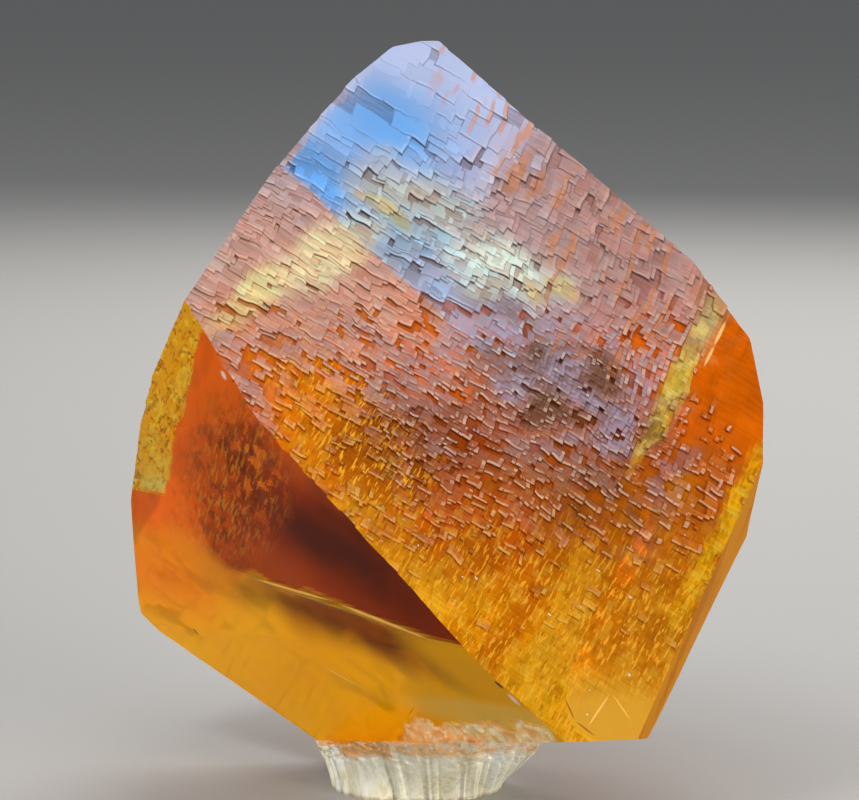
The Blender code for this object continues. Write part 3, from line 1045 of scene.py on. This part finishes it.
# %% Node kit
STROKE_DEPTH = 1.5 * MM     # how far a fine line reaches off its facet's plane


def add(tree, kind, inputs=None, **settings):
    """Add a node, set its choices, and fill its inputs with numbers or with links."""
    made = tree.nodes.new(kind)
    for key, value in settings.items():
        setattr(made, key, value)
    for key, value in (inputs or {}).items():
        if isinstance(value, bpy.types.NodeSocket):
            tree.links.new(value, made.inputs[key])
        else:
            made.inputs[key].default_value = value
    return made


def mix_colours(tree, share, under, over, kind="MIX"):
    """Lay a colour over another by a share; kind MULTIPLY darkens instead."""
    made = add(tree, "ShaderNodeMix", {0: share, 6: under, 7: over},
               data_type="RGBA", blend_type=kind)
    return made.outputs[2]


def mix_values(tree, share, under, over):
    """Go from one value to another by a share."""
    return add(tree, "ShaderNodeMix", {0: share, 2: under, 3: over},
               data_type="FLOAT").outputs[0]


def times(tree, one, other):
    return add(tree, "ShaderNodeMath", {0: one, 1: other}, operation="MULTIPLY").outputs[0]


def steps(tree, value, low, high, out_low=0.0, out_high=1.0):
    """Map low..high of a value smoothly to out_low..out_high, held at both ends."""
    return add(tree, "ShaderNodeMapRange", {0: value, 1: low, 2: high, 3: out_low, 4: out_high},
               interpolation_type="SMOOTHSTEP").outputs[0]


def cloud(tree, places, size, detail=2.0, stretch=(1.0, 1.0, 1.0), turn=(0.0, 0.0, 0.0)):
    """Noise from 0 to 1 over places in metres; size is the width of one cloud, in mm."""
    laid = add(tree, "ShaderNodeMapping", {0: places, 2: turn,
                                           3: tuple(size * MM * k for k in stretch)},
               vector_type="TEXTURE")
    return add(tree, "ShaderNodeTexNoise", {"Vector": laid.outputs[0], "Scale": 1.0,
                                            "Detail": detail}).outputs["Fac"]


def facet_turn(facet, degrees):
    """The rotation whose x axis lies on the facet, turned up from its right by the angle."""
    _, right, up, normal = facet_frame(facet)
    a = math.radians(degrees)
    x = right * math.cos(a) + up * math.sin(a)
    return tuple(Matrix((x, normal.cross(x), normal)).transposed().to_euler())


def stroke(tree, places, facet, start, end, width):
    """1 on a thin straight line between two places on a facet, in millimetres."""
    point, right, up, _ = facet_frame(facet)
    middle = point + right * (start[0] + end[0]) / 2 + up * (start[1] + end[1]) / 2
    run = (end[0] - start[0], end[1] - start[1])
    laid = add(tree, "ShaderNodeMapping",
               {0: places, 1: tuple(middle * MM),
                2: facet_turn(facet, math.degrees(math.atan2(run[1], run[0]))),
                3: (math.hypot(*run) / 2 * MM, width * MM, STROKE_DEPTH)},
               vector_type="TEXTURE")
    reach = add(tree, "ShaderNodeVectorMath", {0: laid.outputs[0]}, operation="LENGTH")
    return steps(tree, reach.outputs["Value"], 0.6, 1.0, 1.0, 0.0)


print("node kit ready")

# %% [markdown]
# ## Fine lines
# A few cracks and steps are thinner than the sheets' ledges. They are drawn into the finish
# as straight strokes, each between two places on its facet.

# %% Fine lines
BROWN = (120, 62, 20)
FINE_LINES = (      # facet, two ends, half width, colour
    ("front", (14.3, -33.1), (11.9, -36.5), 0.11, (230, 182, 92)),
    ("front", (14.3, -33.1), (16.2, -36.0), 0.09, (224, 172, 76)),
    ("front", (9.9, -33.4), (10.9, -35.8), 0.10, (160, 96, 30)),
    ("front", (10.8, -35.7), (12.8, -37.3), 0.10, (160, 96, 30)),
    ("front", (-21.8, -1.2), (-21.1, -2.5), 0.22, (236, 224, 214)),
    ("front_left", (24.4, -15.6), (25.9, -17.2), 0.45, (244, 222, 200)),
    ("front_left", (23.4, -14.4), (24.5, -15.3), 0.28, (96, 52, 22)),
    ("front", (26.9, 3.3), (25.4, 0.4), 0.22, (240, 196, 120)),
    ("front", (25.6, 0.7), (24.4, -1.6), 0.18, (240, 196, 120)),
    ("front_left", (-9.0, -8.5), (4.0, -9.2), 0.16, (250, 190, 90)),
    ("front_left", (3.0, -9.2), (17.5, -11.2), 0.20, (250, 190, 90)),
    ("front_left", (9.8, -20.0), (6.1, -23.2), 0.16, BROWN),
    ("front_left", (-4.6, -17.6), (4.0, -20.5), 0.12, (250, 206, 110)),
    ("front_left", (-23.1, -17.0), (-22.5, -18.0), 0.16, BROWN),
)

# %% [markdown]
# ## Honey calcite
# One material covers the whole crystal, because light that enters by one face and leaves
# by another must meet the same stone. Its glow comes from three plain values: clear
# transmission, an index of refraction near calcite's lower one, and an absorption that
# takes the blue out of the light. Faces that were painted keep their colour; the others
# show slow clouds of amber and burnt orange. Where the brush set glints, fine streaks carry
# painted glints, and other fine streaks painted shade.

# %% Honey calcite
BARE_CLEAR, BARE_ROUGH = 0.65, 0.12     # of the faces that carry no paint
honey, tree, shader = new_finish("honey_calcite")
places = add(tree, "ShaderNodeTexCoord").outputs["Object"]
paint = add(tree, "ShaderNodeAttribute", attribute_name="paint")
clear = add(tree, "ShaderNodeAttribute", attribute_name="clear").outputs["Fac"]
rough = add(tree, "ShaderNodeAttribute", attribute_name="rough").outputs["Fac"]
slow = cloud(tree, places, 15.0, 1.0)
grain = cloud(tree, places, 0.9, 2.0, (2.6, 0.35, 1.0), facet_turn("front", -34))
plated = steps(tree, clear, 0.13, 0.22)
glint_streak = cloud(tree, places, 0.30, 3.0, (4.0, 1.0, 6.0), facet_turn("front", 60))
shade_streak = cloud(tree, places, 0.36, 3.0, (3.0, 1.0, 6.0), facet_turn("front", 52))
glint = add(tree, "ShaderNodeAttribute", attribute_name="glint").outputs["Fac"]
# Painted glints along fine streaks, and painted shade along other fine streaks.
shine = times(tree, glint, steps(tree, glint_streak, 0.54, 0.62))
gloom = times(tree, glint, steps(tree, shade_streak, 0.56, 0.66, 0.0, 0.6))
clouds = mix_colours(tree, steps(tree, slow, 0.38, 0.62),
                     linear(222, 112, 6), linear(236, 160, 26))
colour = mix_colours(tree, paint.outputs["Alpha"], clouds, paint.outputs["Color"])
streaks = mix_values(tree, plated, 0.08, steps(tree, grain, 0.3, 0.7, 0.0, 0.35))
colour = mix_colours(tree, streaks, colour, linear(186, 176, 168), "MULTIPLY")
colour = mix_colours(tree, gloom, colour, linear(160, 78, 6))
colour = mix_colours(tree, shine, colour, linear(240, 174, 44))
for facet, start, end, width, line_colour in FINE_LINES:
    colour = mix_colours(tree, stroke(tree, places, facet, start, end, width), colour,
                         linear(*line_colour))
tree.links.new(colour, shader.inputs["Base Color"])
tree.links.new(mix_values(tree, paint.outputs["Alpha"], BARE_CLEAR, clear),
               shader.inputs["Transmission Weight"])
tree.links.new(mix_values(tree, paint.outputs["Alpha"], BARE_ROUGH, rough),
               shader.inputs["Roughness"])
shader.inputs["IOR"].default_value = 1.5
shader.inputs["Specular IOR Level"].default_value = 0.08
shader.inputs["Specular Tint"].default_value = (1.0, 0.66, 0.22, 1.0)
ripple = add(tree, "ShaderNodeBump", {"Strength": 0.3, "Distance": 0.06 * MM,
                                      "Height": mix_values(tree, plated, 0.5, grain)})
tree.links.new(ripple.outputs[0], shader.inputs["Normal"])
absorb = add(tree, "ShaderNodeVolumeAbsorption")
absorb.inputs["Color"].default_value = (0.97, 0.76, 0.05, 1.0)
absorb.inputs["Density"].default_value = 60.0
tree.links.new(absorb.outputs[0], tree.nodes["Material Output"].inputs["Volume"])
crystal.data.materials.clear()
crystal.data.materials.append(honey)
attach(crystal, "root")
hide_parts("calcite_crystal")
print("honey calcite:", len(tree.nodes), "nodes")

# %% [markdown]
# ## The stump of matrix
# Under the crystal stands what is left of its bed: a short stump of white, fibrous rock, drawn
# in towards its cut foot, with a grainy peach crust where it grips the crystal. It starts as
# a cylinder, is cut into rings, and every ring is drawn from the foot's oval to the collar's,
# with the columns as grooves between. Where the crystal sits, a slightly smaller crystal
# is cut out, so that rock and crystal truly touch.

# %% Stump: rings and columns
STUMP_SIDES = 220
STUMP_RINGS = 36
FOOT_MIDDLE, FOOT_HALF = np.array([0.2, 0.0]), np.array([8.5, 8.6])
COLLAR_MIDDLE, COLLAR_HALF = np.array([1.3, -5.6]), np.array([16.4, 8.0])
COLLAR_TURN = math.radians(-56.2)
COLUMN_SWING = math.radians(30)     # the columns lean by this turn between foot and collar
COLUMNS = 47
FOOT_SQUARENESS = 2.6       # 2 is an oval foot, more is squarer
GRAIN_SPREAD = 9.0          # millimetres of pattern for a turn of one radian or the full height
GRIP = 0.7                  # how deep the rock reaches into the crystal
CRUST_FROM = -2.2           # the crust climbs highest to the right of this x


def underside_height(x, y):
    """Height of the crystal's underside over a place on the floor."""
    point, _, _, normal = facet_frame("underside")
    return point.z - (normal.x * (x - point.x) + normal.y * (y - point.y)) / normal.z


bpy.ops.object.select_all(action="DESELECT")
bpy.ops.mesh.primitive_cylinder_add(vertices=STUMP_SIDES, radius=1.0, depth=1.0,
                                    location=(0.0, 0.0, 0.5), end_fill_type="TRIFAN")
stump = bpy.context.object
stump.name = "matrix_stump"
bpy.ops.object.transform_apply(location=True, rotation=True, scale=True)
select_all_of(stump)
for ring in range(1, STUMP_RINGS):
    bpy.ops.mesh.select_all(action="SELECT")
    bpy.ops.mesh.bisect(plane_co=(0.0, 0.0, ring / STUMP_RINGS), plane_no=(0.0, 0.0, 1.0))
bpy.ops.object.mode_set(mode="OBJECT")
points = rows_of_three(stump.data.vertices, "co")
middles = rows_of_three(stump.data.polygons, "center")
rng = np.random.default_rng(41)
column_edges = np.sort(rng.uniform(0.0, math.tau, COLUMNS - 1))
column_height = rng.uniform(-0.4, 1.0, COLUMNS)
print("stump:", len(points), "points,", COLUMNS, "columns")

# %% [markdown]
# A column has a round front and sharp grooves beside it. The upper part grows grainy, and its
# lip follows the underside of the crystal.

# %% Stump: shape


def columns_at(angle):
    """How far a column stands out at an angle: round fronts with sharp grooves between."""
    k = np.searchsorted(column_edges, angle % math.tau)
    before = np.where(k > 0, column_edges[k - 1], column_edges[-1] - math.tau)
    after = np.where(k < len(column_edges), column_edges[k % len(column_edges)],
                     column_edges[0] + math.tau)
    across = (angle % math.tau - before) / (after - before)
    return np.sqrt(np.clip(4 * across * (1 - across), 0, 1)), column_height[k]


def stump_shape(rng, unit):
    """Points of the unit cylinder moved to the stump's outer side, in millimetres."""
    share, angle = unit[:, 2], np.arctan2(unit[:, 1], unit[:, 0])
    out = unit[:, :2]
    a = COLLAR_TURN
    reach = np.linalg.norm(out, axis=1)
    swung = angle - COLUMN_SWING - a
    along = reach * np.cos(swung) * COLLAR_HALF[0]
    across = reach * np.sin(swung) * COLLAR_HALF[1]
    collar = COLLAR_MIDDLE + np.stack([along * math.cos(a) - across * math.sin(a),
                                       along * math.sin(a) + across * math.cos(a)], axis=1)
    bulge = FOOT_SQUARENESS
    corners = (np.abs(np.cos(angle)) ** bulge + np.abs(np.sin(angle)) ** bulge) ** (-1 / bulge)
    foot = FOOT_MIDDLE + out * FOOT_HALF * corners[:, None]
    crust = soft_step(collar[:, 0], CRUST_FROM - 1.0, CRUST_FROM + 1.5)
    crust = crust * soft_step(-collar[:, 1], 0, 6)
    flare = (share ** 1.4)[:, None]
    place = foot * (1 - flare) + collar * flare
    front, stands = columns_at(angle)
    round_way, climb = angle * GRAIN_SPREAD, share * GRAIN_SPREAD
    grain = waves(rng, round_way, climb, 0.55)
    proud = 0.45 * (front - 0.6) + 0.22 * stands
    proud = proud * (1 - 0.7 * crust * soft_step(share, 0.55, 0.8))
    proud = proud + 0.16 * waves(rng, round_way, climb, 1.4, 3.0, 90.0)
    proud = proud + 0.28 * grain * soft_step(share, 0.5, 0.8)
    place = place + out * (proud * (reach > 0.5))[:, None]
    lip = 0.2 + 0.25 * waves(rng, round_way, share * 0.0, 1.1)
    top = underside_height(place[:, 0], place[:, 1]) + lip
    return np.column_stack([place, share * top]), crust, front


shaped, _, _ = stump_shape(rng, points)
stump.data.vertices.foreach_set("co", (shaped * MM).ravel())
stump.data.update()
print("stump:", len(stump.data.polygons), "faces")

# %% [markdown]
# The rock is white and cream along the columns, with grey-green painted shade in the grooves,
# brown towards its lower rim, and peach to orange where the crust meets the honey.

# %% Stump: colour and seat
share, angle = middles[:, 2], np.arctan2(middles[:, 1], middles[:, 0])
where, crust, front = stump_shape(np.random.default_rng(41), middles)
_, stands = columns_at(angle)
round_way, climb = angle * GRAIN_SPREAD, share * GRAIN_SPREAD
patch = waves(rng, round_way, climb, 1.6, 2.0, 90.0)
colour = lay(wash(angle, 252, 246, 220), soft_step(stands, 0.4, 0.8), linear(250, 250, 240))
colour = lay(colour, soft_step(patch, 0.0, 0.6) * 0.7, linear(236, 226, 184))
# Painted shade: grey green in the grooves between the columns.
colour = lay(colour, 0.6 * (1 - soft_step(front, 0.25, 0.6)), linear(200, 198, 168))
colour = lay(colour, 0.6 * (1 - soft_step(share, 0.0, 0.09)), linear(150, 116, 78))
crust_from = 0.95 + 0.06 * waves(rng, round_way, share, 1.8) - 0.12 * crust
peach = lay(wash(angle, 248, 198, 136), soft_step(waves(rng, round_way, climb, 0.7), -0.2, 0.5),
            linear(255, 228, 184))
peach = lay(peach, 0.7 * soft_step(waves(rng, round_way, climb, 1.5), 0.2, 0.7),
            linear(244, 176, 92))
colour = lay(colour, soft_step(share - crust_from, -0.05, 0.06), peach)
tongue = soft_step(where[:, 0], -8.2, -6.8) * (1 - soft_step(where[:, 0], -2.8, -1.6))
tongue = tongue * soft_step(share + 0.08 * patch, 0.66, 0.80) * soft_step(-where[:, 1], 0, 3)
colour = lay(colour, 0.85 * tongue, linear(238, 164, 56))
keep_paint(stump.data, colour, 0.0, 0.8)
trim(stump, cut_block("seat", {}, -GRIP), "DIFFERENCE")

# %% [markdown]
# Its finish is dry and rough, with fine upright fibres and pale specks.

# %% Stump: finish
matrix, tree, shader = new_finish("pale_matrix")
places = add(tree, "ShaderNodeTexCoord").outputs["Object"]
paint = add(tree, "ShaderNodeAttribute", attribute_name="paint").outputs["Color"]
fibre = cloud(tree, places, 0.5, 4.0, (1.0, 1.0, 4.0))
speck = cloud(tree, places, 0.6, 2.0)
colour = mix_colours(tree, steps(tree, fibre, 0.3, 0.6, 0.5, 0.0), paint,
                     linear(206, 200, 178), "MULTIPLY")
colour = mix_colours(tree, steps(tree, speck, 0.5, 0.65, 0.0, 0.5), colour, linear(250, 248, 236))
tree.links.new(colour, shader.inputs["Base Color"])
tree.links.new(steps(tree, speck, 0.4, 0.7, 0.85, 0.5), shader.inputs["Roughness"])
rub = add(tree, "ShaderNodeBump", {"Strength": 0.6, "Distance": 0.12 * MM, "Height": fibre})
tree.links.new(rub.outputs[0], shader.inputs["Normal"])
stump.data.materials.clear()
stump.data.materials.append(matrix)
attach(stump, "root")
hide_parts("matrix_base")
print("pale matrix:", len(tree.nodes), "nodes")
